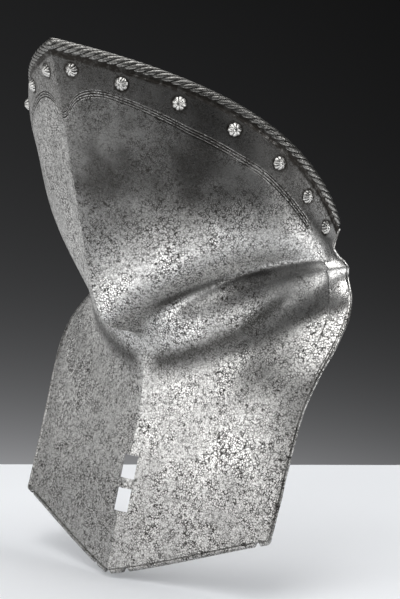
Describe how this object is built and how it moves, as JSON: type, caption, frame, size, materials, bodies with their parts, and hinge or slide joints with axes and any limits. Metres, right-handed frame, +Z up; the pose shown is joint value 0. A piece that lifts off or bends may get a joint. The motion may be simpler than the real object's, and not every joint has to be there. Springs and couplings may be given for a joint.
{
  "type": "bevor",
  "caption": "One-piece steel bevor: prow-shaped chin guard with a roped rim and rosette lining rivets, over a keeled throat and chest plate with two staple slots.",
  "frame": {"origin": "on the lower keel, at the bar between the two staple slots, on the plate's outer face", "axes": "+Z up towards the rim, -Y forward as worn, +X towards the wearer's left"},
  "size_m": [0.2742, 0.1718, 0.3781],
  "materials": {
    "forged_plate": "bright steel with dark fine pitting and worn edges",
    "rim_wire": "drawn iron wire, dull",
    "lining_leather": "old brown leather, dry",
    "rosette_rivets": "bright filed steel, worn petals",
    "rivet_washers": "dull hand-cut steel"
  },
  "bodies": {
    "root": {"bevor_plate": "forged_plate", "rim_wire": "rim_wire", "lining_band_left": "lining_leather", "lining_band_right": "lining_leather", "lining_rivet_left_1": "rosette_rivets", "lining_rivet_left_2": "rosette_rivets", "lining_rivet_left_3": "rosette_rivets", "lining_rivet_left_4": "rosette_rivets", "lining_rivet_left_5": "rosette_rivets", "lining_rivet_left_6": "rosette_rivets", "lining_rivet_left_7": "rosette_rivets", "lining_rivet_right_1": "rosette_rivets", "lining_rivet_right_2": "rosette_rivets", "lining_rivet_right_3": "rosette_rivets", "lining_rivet_right_4": "rosette_rivets", "lining_rivet_right_5": "rosette_rivets", "lining_rivet_right_6": "rosette_rivets", "lining_rivet_right_7": "rosette_rivets", "rivet_washer_left_1": "rivet_washers", "rivet_washer_left_2": "rivet_washers", "rivet_washer_left_3": "rivet_washers", "rivet_washer_left_4": "rivet_washers", "rivet_washer_left_5": "rivet_washers", "rivet_washer_left_6": "rivet_washers", "rivet_washer_left_7": "rivet_washers", "rivet_washer_right_1": "rivet_washers", "rivet_washer_right_2": "rivet_washers", "rivet_washer_right_3": "rivet_washers", "rivet_washer_right_4": "rivet_washers", "rivet_washer_right_5": "rivet_washers", "rivet_washer_right_6": "rivet_washers", "rivet_washer_right_7": "rivet_washers"}
  },
  "joints": []
}
